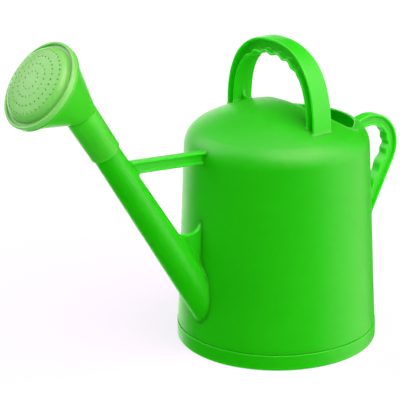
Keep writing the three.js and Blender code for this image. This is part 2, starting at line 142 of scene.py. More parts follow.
ARCH_LOW, ARCH_HIGH = box_mm("top_handle")
ARCH_X = (ARCH_LOW[0] + ARCH_HIGH[0]) / 2
ARCH_WIDTH = ARCH_HIGH[0] - ARCH_LOW[0]
ARCH_HALF_SPAN = ARCH_HIGH[1]
ARCH_SPRING_Z = 256.4
ARCH_ROOT_LENGTH = 12
ARCH_RISE = ARCH_HIGH[2] - ARCH_SPRING_Z
ARCH_POWER_Y = 2.4
ARCH_POWER_Z = 2.5
ARCH_TAPER_Z = 288
ARCH_NECK_WIDTH = 23.5
ARCH_NECK_Z = 330
ARCH_TOP_WIDTH = 18.5
ARCH_DEPTH = 13.6
ARCH_TOP_DEPTH = 15.6
ARCH_DEEP_HALF_LENGTH = 115
ARCH_GRIP = 2.8
ARCH_GRIP_PITCH = 23.5
ARCH_GRIP_HALF_LENGTH = 70
FIN_THICKNESS = 3
FIN_RADIUS = 15
FIN_GAP = 0.4
FIN_BITE = 1.5
FIN_EDGE = 1
FIN_BLEND = 1.5

REAR_WIDTH = 2 * box_mm("rear_handle")[1][1]
REAR_ARC_X = 136
REAR_ARC_Z = 197.8
REAR_ARC_RADIUS = 41.3
REAR_ARC_START = math.radians(125)
REAR_ARC_END = math.radians(-27.7)
REAR_ROOT_LENGTH = 18
REAR_LEG_LENGTH = 141
REAR_DEPTH = 13.4
REAR_LEG_DEPTH = 15.6
REAR_GRIP = 2.2
REAR_GRIP_PITCH = 21
REAR_GRIP_HALF_LENGTH = 3 * REAR_GRIP_PITCH
REAR_DEPTH_CHANGE = 40

SLEEVE_START = 232
SLEEVE_END = 287
SLEEVE_RADIUS_START = 17.25
SLEEVE_RADIUS_END = 18
SLEEVE_BORE = 15.75
SLEEVE_LIP = 0.9
SLEEVE_LIP_PROUD = 0.25
SLEEVE_MOUTH_EDGE = 0.6
SLEEVE_LIP_EDGE = 0.7
SLEEVE_STEP_EDGE = 0.8
SLEEVE_EDGE = 0.35
ROSE_BORE = 13

ROSE_X = -309.6
ROSE_Z = 352.6
ROSE_ANGLE = math.radians(37)
ROSE_RADIUS = 49.7
ROSE_BULGE = 14
FACE_SKIN = 2
FACE_DOME_RADIUS = 41.5
FACE_EDGE_Z = 7.6
FACE_WALL_RADIUS = 42.4
FACE_GROOVE_RADIUS = 46.2
FACE_GROOVE_Z = 0.2
FACE_BEAD_Z = 2.4
FACE_SKIRT = 3.6
FACE_RIM_BLEND = 6
FACE_FLOOR_HALF_WIDTH = 3.4
FACE_FLOOR_EDGE = 0.2
FACE_FLOOR_BLEND = 1
FACE_BEAD_EDGE = 1.5
FACE_SKIRT_TOP = 1
FACE_SKIRT_EDGE = 0.5
FACE_SKIRT_BLEND = 0.6
FACE_BEAD_BLEND = 0.8
FUNNEL_RIM_RADIUS = 49.1
FUNNEL_RIM_DEPTH = 7
FUNNEL_RIM_ROUND = 1
FUNNEL_FOOT = 1.2
FUNNEL_CONE_RADIUS = 47.9
FUNNEL_CONE_DEPTH = 5
SPIGOT_RADIUS = 46.9
SPIGOT_TOP = -1
FUNNEL_BORE = 44.8
SPRAY_RINGS = ((10, 12), (19, 20), (28, 30), (36.5, 40))
SPRAY_HOLE_RADIUS = 0.8
SPRAY_HOLE_EDGE = 0.15


# ---------------------------------------------------------------- distance fields

def soft_min(a, b, size):
    """The lesser of two distances, blended where they differ by less than size."""
    near = np.maximum(size - np.abs(a - b), 0) / size
    return np.minimum(a, b) - near * near * size / 4


def soft_max(a, b, size):
    return -soft_min(-a, -b, size)


def filleted(a, b, radius):
    """The union of two solids, with a round fillet of the given radius between them.

    The fillet has no end of its own beyond that radius, so what uses it is cut there.
    """
    corner = np.hypot(np.maximum(radius - a, 0), np.maximum(radius - b, 0))
    return np.maximum(radius, np.minimum(a, b)) - corner


def round_box(u, v, centre, half, radius):
    """Distance to a rectangle with rounded corners, in its own plane."""
    du = np.abs(u - centre[0]) - half[0] + radius
    dv = np.abs(v - centre[1]) - half[1] + radius
    return np.hypot(np.maximum(du, 0), np.maximum(dv, 0)) + np.minimum(np.maximum(du, dv), 0) - radius


# ---------------------------------------------------------------- frames

class Leaning:
    """A frame whose axis leans from +Z towards -X, to an angle above the horizontal."""

    def __init__(self, x, z, angle):
        self.origin = np.array((x, 0, z), float)
        self.across = np.array((math.sin(angle), 0, math.cos(angle)))
        self.along = np.array((-math.cos(angle), 0, math.sin(angle)))

    def place(self, across, y, along):
        """Points of the can's frame from coordinates of this one."""
        points = self.origin + np.multiply.outer(across, self.across) + np.multiply.outer(along, self.along)
        points[..., 1] += y
        return points

    def local(self, x, z):
        """Coordinates across and along this frame."""
        dx = x - self.origin[0]
        dz = z - self.origin[2]
        across = dx * self.across[0] + dz * self.across[2]
        return across, dx * self.along[0] + dz * self.along[2]


SPOUT_FRAME = Leaning(SPOUT_X, SPOUT_Z, SPOUT_ANGLE)
ROSE_FRAME = Leaning(ROSE_X, ROSE_Z, ROSE_ANGLE)
UPRIGHT_FRAME = Leaning(0, 0, math.pi / 2)


# ---------------------------------------------------------------- meshes

FACE_AREA_WEIGHT = 80
NET_PASSES = 6
NET_DRIFT = 0.9


def add_piece(name, shape, body, node, material):
    """A shown piece in metres that rides on a body and stands for a CAD node.

    The shape is points, faces and the points' normals, or None where the faces give them.
    """
    points, faces, normals = shape
    mesh = bpy.data.meshes.new(name)
    mesh.from_pydata((points * MM).tolist(), [], faces)
    mesh.polygons.foreach_set("use_smooth", [True] * len(mesh.polygons))
    if normals is not None:
        mesh.normals_split_custom_set_from_vertices(normals.tolist())
    mesh.validate()
    piece = bpy.data.objects.new(name, mesh)
    bpy.context.scene.collection.objects.link(piece)
    mesh.materials.append(material)
    if normals is None:
        weighted = piece.modifiers.new("weighted_normals", "WEIGHTED_NORMAL")
        weighted.weight = FACE_AREA_WEIGHT
    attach(piece, body)
    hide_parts(node)


def ring_grid(rings, closed=True):
    """Points and faces of rings of equal length, each ring closed, in order along the surface.

    With closed, the last ring joins on to the first.
    """
    rings = np.asarray(rings, float)
    rows, columns = rings.shape[:2]
    index = np.arange(rows * columns).reshape(rows, columns)
    turned_index = np.roll(index, -1, axis=1)
    last = rows if closed else rows - 1
    following = np.roll(index, -1, axis=0)[:last]
    turned_following = np.roll(turned_index, -1, axis=0)[:last]
    corners = (index[:last], turned_index[:last], turned_following, following)
    faces = np.stack(corners, axis=-1).reshape(-1, 4).tolist()
    return rings.reshape(-1, 3), faces, None


def rounded(corners, steps=4):
    """An outline whose corners (a, b, radius) become arcs of that radius."""
    outline = []
    for i, (a, b, radius) in enumerate(corners):
        here = np.array((a, b), float)
        if radius == 0:
            outline.append(here)
            continue
        before = np.array(corners[i - 1][:2]) - here
        after = np.array(corners[(i + 1) % len(corners)][:2]) - here
        before = before / np.linalg.norm(before)
        after = after / np.linalg.norm(after)
        half = math.acos(np.clip(before @ after, -1, 1)) / 2
        middle = (before + after) / np.linalg.norm(before + after)
        centre = here + middle * radius / math.sin(half)
        first = here + before * radius / math.tan(half) - centre
        last = here + after * radius / math.tan(half) - centre
        start = math.atan2(first[1], first[0])
        sweep = math.remainder(math.atan2(last[1], last[0]) - start, 2 * math.pi)
        for k in range(steps + 1):
            angle = start + sweep * k / steps
            outline.append(centre + radius * np.array((math.cos(angle), math.sin(angle))))
    return np.array(outline)


def circle(place, radius, along, count):
    turn = np.arange(count) * 2 * math.pi / count
    return place(radius * np.cos(turn), radius * np.sin(turn), np.full(count, float(along)))


def surface_net(distance, low, high, step, place=None):
    """Points, faces and normals of the surface where a distance field is zero.

    The field takes three coordinates; place turns them into points of the can's frame.
    """
    axes = [np.arange(a, b + step, step) for a, b in zip(low, high)]
    inside = distance(*np.meshgrid(*axes, indexing="ij", sparse=True)) < 0
    corners = np.zeros([n - 1 for n in inside.shape], np.int8)
    for i in (0, 1):
        for j in (0, 1):
            for k in (0, 1):
                part = [slice(o, n - 1 + o) for o, n in zip((i, j, k), inside.shape)]
                corners += inside[tuple(part)]
    mixed = (corners > 0) & (corners < 8)
    cells = np.argwhere(mixed)
    number = np.full(corners.shape, -1)
    number[mixed] = np.arange(len(cells))

    start = np.array(low) + (cells + 0.5) * step
    points = start.copy()
    for _ in range(NET_PASSES):
        value, slope = value_and_slope(distance, points)
        points -= slope * (value / np.maximum((slope ** 2).sum(1), 1e-6))[:, None]
        points = start + np.clip(points - start, -NET_DRIFT * step, NET_DRIFT * step)
    _, slope = value_and_slope(distance, points)
    normals = slope / np.maximum(np.linalg.norm(slope, axis=1), 1e-9)[:, None]

    faces = []
    for axis in range(3):
        u, v = (axis + 1) % 3, (axis + 2) % 3
        here = np.moveaxis(inside, (axis, u, v), (0, 1, 2))
        numbers = np.moveaxis(number, (axis, u, v), (0, 1, 2))
        crossing = here[:-1, 1:-1, 1:-1] != here[1:, 1:-1, 1:-1]
        a, b, c = np.nonzero(crossing)
        quad = np.stack(
            [numbers[a, b, c], numbers[a, b + 1, c], numbers[a, b + 1, c + 1], numbers[a, b, c + 1]], axis=1
        )
        leaving = here[a, b + 1, c + 1]
        faces += quad[leaving].tolist() + quad[~leaving][:, ::-1].tolist()
    if place is not None:
        tips = place(*(points + normals).T)
        points = place(*points.T)
        normals = tips - points
    return points, faces, normals


def value_and_slope(distance, points, reach=0.05):
    value = distance(*points.T)
    slope = np.zeros_like(points)
    for k in range(3):
        ahead = points.copy()
        ahead[:, k] += reach
        behind = points.copy()
        behind[:, k] -= reach
        slope[:, k] = (distance(*ahead.T) - distance(*behind.T)) / (2 * reach)
    return value, slope


# ---------------------------------------------------------------- the tank's outline

HALVINGS = 40
LEAN = math.atan2(WALL_BOTTOM_RADIUS - WALL_TOP_RADIUS, WALL_TOP_Z - BAND_HEIGHT)
SHOULDER_X = WALL_TOP_RADIUS - SHOULDER_RADIUS * math.cos(LEAN)
SHOULDER_Z = WALL_TOP_Z - SHOULDER_RADIUS * math.sin(LEAN)
DOME_Z = SHOULDER_Z - math.sqrt((DOME_RADIUS - SHOULDER_RADIUS) ** 2 - SHOULDER_X ** 2)
DOME_JOIN = math.atan2(SHOULDER_Z - DOME_Z, SHOULDER_X)
DECK_SLOPE = (RIDGE_Z - MOUTH_Z) / (MOUTH_FRONT_X - RIDGE_X)


def tank_distance(x, y, z):
    """Distance to the wall, shoulder and dome, without the deck and mouth; negative inside."""
    r = np.hypot(x, y)
    u = r - SHOULDER_X
    v = z - SHOULDER_Z
    angle = np.arctan2(v, u)
    wall = u * math.cos(LEAN) + v * math.sin(LEAN) - SHOULDER_RADIUS
    shoulder = np.hypot(u, v) - SHOULDER_RADIUS
    dome = np.hypot(r, z - DOME_Z) - DOME_RADIUS
    return np.where(angle < LEAN, wall, np.where(angle > DOME_JOIN, dome, shoulder))


def outside_tank(solid, x, y, z, fillet):
    """A solid joined to the tank by a fillet, and ending inside the thickness of its wall."""
    tank = tank_distance(x, y, z)
    joined = soft_min(solid, tank + SEAM, fillet)
    joined = np.maximum(joined, solid - fillet)
    return np.maximum(joined, -tank - WALL / 2)


def top_height(x, y):
    """Height of the dome, the shoulder and the deck that slopes down to the mouth."""
    r = np.hypot(x, y)
    dome = DOME_Z + np.sqrt(np.maximum(DOME_RADIUS ** 2 - r ** 2, 0))
    shoulder = SHOULDER_Z + np.sqrt(np.maximum(SHOULDER_RADIUS ** 2 - (r - SHOULDER_X) ** 2, 0))
    turned = np.where(r < SHOULDER_X + SHOULDER_RADIUS * math.cos(DOME_JOIN), dome, shoulder)
    deck = MOUTH_Z + soft_max(DECK_SLOPE * (MOUTH_FRONT_X - x), np.zeros_like(x), DECK_FOOT_BLEND)
    return soft_min(turned, deck, RIDGE_BLEND)


def mouth_distance(x, y):
    """Distance to the mouth's outline in plan, negative over the opening."""
    front = MOUTH_FRONT_X + MOUTH_CORNER - x
    back = np.hypot(x - MOUTH_ARC_X, y) - MOUTH_ARC_RADIUS + MOUTH_CORNER
    beyond = np.hypot(np.maximum(front, 0), np.maximum(back, 0))
    return beyond + np.minimum(np.maximum(front, back), 0) - MOUTH_CORNER


def reach_of(directions, outline, level):
    """How far from the mouth's centre each direction meets a level of a plan outline."""
    near = np.zeros(len(directions))
    far = np.full(len(directions), 2 * BASE_RADIUS)
    for _ in range(HALVINGS):
        middle = (near + far) / 2
        x = MOUTH_CENTRE_X + middle * directions[:, 0]
        y = middle * directions[:, 1]
        beyond = outline(x, y) > level
        far = np.where(beyond, middle, far)
        near = np.where(beyond, near, middle)
    return (near + far) / 2


# ---------------------------------------------------------------- tank

TANK_COLUMNS = 288
WALL_ROWS = 20
SHOULDER_ROWS = 7
SHOULDER_SPLIT = math.radians(25)
TOP_ROWS = 72
MOUTH_SAMPLES = 6000
LIP_STEPS = (5, 4, 3, 2.3, 1.7, 1.4)
LIP_ROWS = 9


def mouth_directions():
    """Directions from the mouth's centre, evenly spread along its outline."""
    turn = np.linspace(0, 2 * math.pi, MOUTH_SAMPLES)
    fan = np.stack([np.cos(turn), np.sin(turn)], axis=1)
    reach = reach_of(fan, mouth_distance, 0)
    edge = fan * reach[:, None]
    length = np.concatenate([[0], np.cumsum(np.linalg.norm(np.diff(edge, axis=0), axis=1))])
    wanted = np.arange(TANK_COLUMNS) * length[-1] / TANK_COLUMNS
    chosen = np.interp(wanted, length, turn)
    return np.stack([np.cos(chosen), np.sin(chosen)], axis=1)


def outward_normals(rings):
    """Normals of a surface of closed rings."""
    around = np.roll(rings, -1, axis=1) - np.roll(rings, 1, axis=1)
    along = np.gradient(rings, axis=0)
    normals = np.cross(around, along)
    return normals / np.linalg.norm(normals, axis=2)[:, :, None]


def shoulder_point(angle):
    turned = np.array((math.cos(angle), math.sin(angle)))
    return np.array((SHOULDER_X, SHOULDER_Z)) + SHOULDER_RADIUS * turned


def wall_profile(bottom_z):
    """The wall and the lower shoulder, as radii and heights from the bottom up."""
    top = shoulder_point(LEAN)
    bottom = np.array((top[0] + (top[1] - bottom_z) * math.tan(LEAN), bottom_z))
    wall = [bottom + (top - bottom) * k / WALL_ROWS for k in range(WALL_ROWS)]
    turns = [LEAN + (SHOULDER_SPLIT - LEAN) * k / SHOULDER_ROWS for k in range(SHOULDER_ROWS)]
    return wall + [shoulder_point(angle) for angle in turns]


def make_tank(material):
    fan = mouth_directions()
    outer_reach = reach_of(fan, np.hypot, shoulder_point(SHOULDER_SPLIT)[0])
    edge = np.stack([MOUTH_CENTRE_X + outer_reach * fan[:, 0], outer_reach * fan[:, 1]], axis=1)
    azimuth = edge / np.linalg.norm(edge, axis=1)[:, None]

    def turned_ring(radius, z):
        return np.column_stack([azimuth * radius, np.full(len(fan), float(z))])

    def plan_ring(reach, height_of):
        x = MOUTH_CENTRE_X + reach * fan[:, 0]
        y = reach * fan[:, 1]
        return np.column_stack([x, y, height_of(x, y)])

    rim_z = BASE_FLOOR + GAP
    rebate_radius = BASE_RADIUS - WALL - GAP
    rebate_top = BAND_HEIGHT + GAP
    foot = [(rebate_radius - WALL / 2, rim_z), (rebate_radius - RIM_EDGE, rim_z)]
    foot += [(rebate_radius, rim_z + RIM_EDGE), (rebate_radius, rebate_top - CREASE)]
    foot += [(rebate_radius + CREASE, rebate_top), (WALL_BOTTOM_RADIUS - BAND_EDGE, rebate_top)]
    foot += [(WALL_BOTTOM_RADIUS - 2 * CREASE, rebate_top + 2 * CREASE)]

    outside = [turned_ring(r, z) for r, z in wall_profile(rebate_top + BAND_EDGE)]
    lip_reach = reach_of(fan, mouth_distance, LIP_STEPS[0])
    for k in range(TOP_ROWS):
        share = 1 - math.cos(math.pi / 2 * k / TOP_ROWS)
        outside.append(plan_ring(outer_reach + (lip_reach - outer_reach) * share, top_height))

    def lip_ring(distance, drop=0):
        reach = reach_of(fan, mouth_distance, distance)
        bead = LIP_BEAD * math.exp(-((distance - LIP_BEAD_PLACE) / LIP_BEAD_WIDTH) ** 2)
        return plan_ring(reach, lambda x, y: top_height(x, y) + bead - drop)

    for distance in LIP_STEPS:
        outside.append(lip_ring(distance))
    outside = np.array(outside)
    shell = len(outside) - len(LIP_STEPS) + 1
    inside = outside[:shell] - WALL * outward_normals(outside)[:shell]

    edge_rings = []
    for k in range(1, LIP_ROWS):
        angle = math.pi * k / LIP_ROWS
        drop = LIP_RADIUS * (1 - math.cos(angle))
        edge_rings.append(lip_ring(LIP_RADIUS * (1 - math.sin(angle)), drop))

    rings = [turned_ring(r, z) for r, z in foot]
    rings += list(outside) + edge_rings + list(inside[::-1])
    rings += [turned_ring(rebate_radius - WALL, z) for z in (rebate_top - FLOOR_EDGE, rim_z + RIM_EDGE)]
    add_piece("tank_shell", ring_grid(rings), "can", "tank", material)


# ---------------------------------------------------------------- base

BASE_COLUMNS = 192


def make_base(material):
    skirt_inner = BASE_RADIUS - WALL
    outline = rounded([
        (0, 0, 0),
        (PAD_RADIUS, 0, PAD_EDGE),
        (PAD_RADIUS, UNDERSIDE_RECESS, FLOOR_EDGE),
        (FOOT_INNER_RADIUS, UNDERSIDE_RECESS, PAD_EDGE),
        (FOOT_INNER_RADIUS, 0, FOOT_EDGE),
        (BASE_RADIUS, 0, BASE_CORNER),
        (BASE_RADIUS, BAND_HEIGHT, BAND_EDGE),
        (skirt_inner, BAND_HEIGHT, RIM_EDGE),
        (skirt_inner, BASE_FLOOR, FLOOR_EDGE),
        (0, BASE_FLOOR, 0),
    ])
    rings = [circle(UPRIGHT_FRAME.place, max(r, 0.01), z, BASE_COLUMNS) for r, z in outline]
    points, faces, _ = ring_grid(rings, closed=False)
    faces.append(list(range(BASE_COLUMNS - 1, -1, -1)))
    faces.append([len(points) - BASE_COLUMNS + k for k in range(BASE_COLUMNS)])
    for i in range(RIB_COUNT):
        faces += rib_faces(len(points))
        points = np.vstack([points, rib_points(i)])
    add_piece("base_plate_moulded", (points, faces, None), "can", "base_plate", material)


# shares of the rib's width, and heights, from its lower face up
RIB_RINGS = ((0.5, 0), (0.88, 0), (1, RIB_EDGE), (1, RIB_HEIGHT))


def rib_points(i):
    """A straight rib across the recess, with bevelled lower edges."""
    angle = (i + 0.5) * 2 * math.pi / RIB_COUNT
    along = np.array((math.cos(angle), math.sin(angle)))
    aside = np.array((-along[1], along[0]))
    near = PAD_RADIUS - 1
    far = FOOT_INNER_RADIUS + 1
    points = []
    for share, z in RIB_RINGS:
        half = share * RIB_WIDTH / 2
        for distance, side in ((near, half), (far, half), (far, -half), (near, -half)):
            points.append((*(along * distance + aside * side), z))
    return np.array(points)


def rib_faces(first):
    faces = []
    for row in range(len(RIB_RINGS) - 1):
        for k in range(4):
            a = first + row * 4 + k
            b = first + row * 4 + (k + 1) % 4
            faces.append([b, a, a + 4, b + 4])
    top = first + 4 * (len(RIB_RINGS) - 1)
    faces.append([first + k for k in range(4)])
    faces.append([top + k for k in (3, 2, 1, 0)])
    return faces


# ---------------------------------------------------------------- spout and brace

SPOUT_CELL = 1.25
BRACE_CELL = 0.9


def spout_radius(s):
    return SPOUT_RADIUS - SPOUT_TAPER * s


def spout_distance(across, y, along):
    return np.hypot(across, y) - spout_radius(along)


def make_spout(material):
    def distance(across, y, along):
        x = SPOUT_X + across * SPOUT_FRAME.across[0] + along * SPOUT_FRAME.along[0]
        z = SPOUT_Z + across * SPOUT_FRAME.across[2] + along * SPOUT_FRAME.along[2]
        cone = spout_distance(across, y, along)
        web = filleted(z - GUSSET_Z, tank_distance(x, 0 * y, z) + GUSSET_BITE, GUSSET_FILLET)
        web = np.maximum(web, z - GUSSET_Z - GUSSET_FILLET)
        web = soft_max(web, np.abs(y) - GUSSET_THICKNESS / 2, GUSSET_EDGE)
        web = np.maximum(web, -across)
        solid = soft_min(cone, web, GUSSET_BLEND)
        solid = outside_tank(solid, x, y, z, SPOUT_ROOT_FILLET)
        tip = soft_max(solid, along - SPOUT_TIP, SPOUT_TIP_EDGE)
        return soft_max(tip, -cone - WALL, SPOUT_BORE_EDGE)

    below = 22
    above = 56
    aside = 24
    low = (-below, -aside, SPOUT_START - 2)
    high = (above, aside, SPOUT_TIP + 3)
    net = surface_net(distance, low, high, SPOUT_CELL, SPOUT_FRAME.place)
    add_piece("spout_tube", net, "can", "spout", material)


def make_brace(material):
    run = BRACE_SPOUT - BRACE_TANK
    along = run / np.linalg.norm(run)
    up = np.array((along[1], -along[0]))

    def distance(x, y, z):
        dx = x - BRACE_TANK[0]
        dz = z - BRACE_TANK[1]
        height = dx * up[0] + dz * up[1]
        skin = BRACE_SKIN / 2
        flange = round_box(y, height, (0, -skin), (BRACE_TOP_WIDTH / 2, skin), BRACE_EDGE)
        foot = round_box(y, height, (0, skin - BRACE_HEIGHT), (BRACE_FOOT_WIDTH / 2, skin), BRACE_EDGE)
        middle = -BRACE_HEIGHT / 2
        web = round_box(y, height, (0, middle), (skin, -middle - skin), BRACE_WEB_EDGE)
        beam = soft_min(soft_min(flange, web, BRACE_TOP_BLEND), foot, BRACE_FOOT_BLEND)
        across, station = SPOUT_FRAME.local(x, z)
        spout = spout_distance(across, y, station)
        joined = soft_min(beam, spout + SEAM, BRACE_SPOUT_FILLET)
        joined = np.maximum(joined, beam - BRACE_FILLET_REACH)
        joined = np.maximum(joined, -spout - WALL / 2)
        tank = tank_distance(x, y, z)
        joined = soft_min(joined, tank + SEAM, BRACE_TANK_FILLET)
        joined = np.maximum(joined, beam - BRACE_FILLET_REACH)
        return np.maximum(joined, -tank - WALL / 2)

    aside = BRACE_TOP_WIDTH + 1
    low = (BRACE_SPOUT[0] - 10, -aside, BRACE_TANK[1] - BRACE_HEIGHT - 10)
    high = (BRACE_TANK[0] + 6, aside, BRACE_SPOUT[1] + 8)
    net = surface_net(distance, low, high, BRACE_CELL)
    add_piece("spout_brace_beam", net, "can", "spout_brace", material)


# ---------------------------------------------------------------- handles

ARCH_CELL = 1.0
REAR_CELL = 0.9
NET_MARGIN = 6


def rail_field(points, low, high, step=0.5):
    """Depth inwards from a handle's outer edge and length along it, looked up on a fine grid."""
    tangents = np.gradient(points, axis=0)
    tangents /= np.linalg.norm(tangents, axis=1)[:, None]
    lengths = np.concatenate([[0], np.cumsum(np.linalg.norm(np.diff(points, axis=0), axis=1))])
    us = np.arange(low[0], high[0] + step, step)
    vs = np.arange(low[1], high[1] + step, step)
    depth = np.zeros((len(us), len(vs)))
    length = np.zeros((len(us), len(vs)))
    for i, u in enumerate(us):
        du = u - points[:, 0][:, None]
        dv = vs[None, :] - points[:, 1][:, None]
        nearest = np.argmin(du * du + dv * dv, axis=0)
        gap_u = u - points[nearest, 0]
        gap_v = vs - points[nearest, 1]
        depth[i] = gap_u * tangents[nearest, 1] - gap_v * tangents[nearest, 0]
        length[i] = lengths[nearest] + gap_u * tangents[nearest, 0] + gap_v * tangents[nearest, 1]

    def look_up(u, v):
        fu = np.clip((u - low[0]) / step, 0, len(us) - 1.001)
        fv = np.clip((v - low[1]) / step, 0, len(vs) - 1.001)
        fu, fv = np.broadcast_arrays(fu, fv)
        i = fu.astype(int)
        j = fv.astype(int)
        a = fu - i
        b = fv - j

        def blend(table):
            left = table[i, j] * (1 - b) + table[i, j + 1] * b
            right = table[i + 1, j] * (1 - b) + table[i + 1, j + 1] * b
            return left * (1 - a) + right * a

        return blend(depth), blend(length)

    return look_up, lengths[-1]


def channel_section(side, depth, total, width, thickness):
    """Distance to a handle's section: outer flange, web and inner flange with rounded edges."""
    half = FLANGE / 2
    outer = round_box(side, depth, (0, half), (width / 2, half), FLANGE_EDGE)
    inner = round_box(side, depth - total, (0, -half), (width / 2, half), FLANGE_EDGE)
    web = np.maximum(np.abs(side) - thickness / 2, np.maximum(half - depth, depth - total + half))
    return soft_min(soft_min(outer, web, WEB_FILLET), inner, WEB_FILLET)


def grip_swell(distance, half_length, pitch, height):
    """Height of a row of finger grips, at a distance along the handle from the row's middle."""
    fade = np.clip((half_length - np.abs(distance)) / (pitch / 2), 0, 1)
    return height * fade * (0.5 + 0.5 * np.cos(2 * math.pi * distance / pitch))


def arch_points(steps=900):
    """The arch's outer edge, a rounded square bend with straight roots, as y and z."""
    angle = np.linspace(math.pi, 0, steps)
    across = np.sign(np.cos(angle)) * np.abs(np.cos(angle)) ** (2 / ARCH_POWER_Y)
    rise = np.maximum(np.sin(angle), 0) ** (2 / ARCH_POWER_Z)
    arch = np.stack([ARCH_HALF_SPAN * across, ARCH_SPRING_Z + ARCH_RISE * rise], axis=1)
    below = np.array((0, -ARCH_ROOT_LENGTH))
    return np.vstack([arch[0] + below, arch, arch[-1] + below])


def make_top_handle(material):
    aside = ARCH_HALF_SPAN + 5
    low = (-aside, ARCH_SPRING_Z - ARCH_ROOT_LENGTH - 2)
    high = (aside, ARCH_SPRING_Z + ARCH_RISE + 4)
    look_up, length = rail_field(arch_points(), low, high)
    taper_heights = (ARCH_TAPER_Z, ARCH_NECK_Z, ARCH_HIGH[2])
    taper_widths = (ARCH_WIDTH, ARCH_NECK_WIDTH, ARCH_TOP_WIDTH)

    def distance(x, y, z):
        depth, station = look_up(y, z)
        from_middle = station - length / 2
        share = 0.5 + 0.5 * np.cos(math.pi * np.minimum(np.abs(from_middle) / ARCH_DEEP_HALF_LENGTH, 1))
        swell = grip_swell(from_middle, ARCH_GRIP_HALF_LENGTH, ARCH_GRIP_PITCH, ARCH_GRIP)
        total = ARCH_DEPTH + (ARCH_TOP_DEPTH - ARCH_DEPTH) * share + swell
        width = np.interp(z, taper_heights, taper_widths)
        handle = channel_section(x - ARCH_X, depth, total, width, ARCH_WEB)
        tank = tank_distance(x, y, z) + FIN_GAP
        inwards = depth - total
        fin = filleted(inwards, tank, FIN_RADIUS)
        fin = np.maximum(fin, tank - FIN_RADIUS)
        fin = np.maximum(fin, np.abs(inwards - FIN_RADIUS / 2) - FIN_RADIUS / 2 - FIN_BITE)
        fin = soft_max(fin, np.abs(x - ARCH_X) - FIN_THICKNESS / 2, FIN_EDGE)
        return outside_tank(soft_min(handle, fin, FIN_BLEND), x, y, z, HANDLE_ROOT_FILLET)

    start = (ARCH_X - ARCH_WIDTH / 2 - NET_MARGIN, *low)
    corner = (ARCH_X + ARCH_WIDTH / 2 + NET_MARGIN, *high)
    net = surface_net(distance, start, corner, ARCH_CELL)
    add_piece("carrying_handle", net, "can", "top_handle", material)


def rear_points(steps=500, root_steps=80):
    """The rear handle's outer edge, a straight root, an arc and a straight leg, as x and z."""
    angle = np.linspace(REAR_ARC_START, REAR_ARC_END, steps)
    arc_x = REAR_ARC_X + REAR_ARC_RADIUS * np.cos(angle)
    arc_z = REAR_ARC_Z + REAR_ARC_RADIUS * np.sin(angle)
    arc = np.stack([arc_x, arc_z], axis=1)
    root = np.array((-math.sin(REAR_ARC_START), math.cos(REAR_ARC_START)))
    leg = np.array((math.sin(REAR_ARC_END), -math.cos(REAR_ARC_END)))
    root_line = arc[0] + np.outer(np.linspace(REAR_ROOT_LENGTH, 0, root_steps)[:-1], root)
    leg_line = arc[-1] + np.outer(np.linspace(0, REAR_LEG_LENGTH, steps)[1:], leg)
    return np.vstack([root_line, arc, leg_line])


def make_rear_handle(material):
    low_box, high_box = box_mm("rear_handle")
    low = (low_box[0] - 12, low_box[2] - 12)
    high = (high_box[0] + 4, high_box[2] + 8)
    look_up, _ = rail_field(rear_points(), low, high)
    bend_end = REAR_ROOT_LENGTH + REAR_ARC_RADIUS * (REAR_ARC_START - REAR_ARC_END)
    grip_middle = bend_end + REAR_GRIP_PITCH / 2

    def distance(x, y, z):
        depth, station = look_up(x, z)
        down = np.clip(0.5 + (station - bend_end) / REAR_DEPTH_CHANGE, 0, 1)
        total = REAR_DEPTH + (REAR_LEG_DEPTH - REAR_DEPTH) * down
        total = total + grip_swell(station - grip_middle, REAR_GRIP_HALF_LENGTH, REAR_GRIP_PITCH, REAR_GRIP)
        handle = channel_section(y, depth, total, REAR_WIDTH, REAR_WEB)
        return outside_tank(handle, x, y, z, HANDLE_ROOT_FILLET)

    start = (low[0], -REAR_WIDTH / 2 - NET_MARGIN, low[1])
    corner = (high[0], REAR_WIDTH / 2 + NET_MARGIN, high[1])
    net = surface_net(distance, start, corner, REAR_CELL)
    add_piece("pouring_handle", net, "can", "rear_handle", material)


# ---------------------------------------------------------------- rose

SLEEVE_COLUMNS = 96
FUNNEL_COLUMNS = 144
FUNNEL_ROWS = (0, 0.03, 0.07, 0.14, 0.25, 0.4, 0.55, 0.7, 0.82, 0.9, 0.94, 0.955)
BORE_ROWS = (0, 0.02, 0.3, 0.6, 0.9, 0.98, 1)
FACE_CELL = 0.6


def make_sleeve(material):
    seat = SPOUT_TIP + GAP
    lip_radius = SLEEVE_RADIUS_START + SLEEVE_LIP_PROUD
    outline = rounded([
        (SLEEVE_BORE, SLEEVE_START, SLEEVE_MOUTH_EDGE),
        (lip_radius, SLEEVE_START, SLEEVE_LIP_EDGE),
        (lip_radius, SLEEVE_START + 2 * SLEEVE_LIP, SLEEVE_STEP_EDGE),
        (SLEEVE_RADIUS_START, SLEEVE_START + 3 * SLEEVE_LIP, SLEEVE_STEP_EDGE),
        (SLEEVE_RADIUS_END, SLEEVE_END, SLEEVE_EDGE),
        (ROSE_BORE, SLEEVE_END, RIM_EDGE),
        (ROSE_BORE, seat, RIM_EDGE),
        (SLEEVE_BORE, seat, RIM_EDGE),
    ])
    rings = [circle(SPOUT_FRAME.place, r, s, SLEEVE_COLUMNS) for r, s in outline]
    add_piece("rose_sleeve_socket", ring_grid(rings), "sleeve", "rose_sleeve", material)


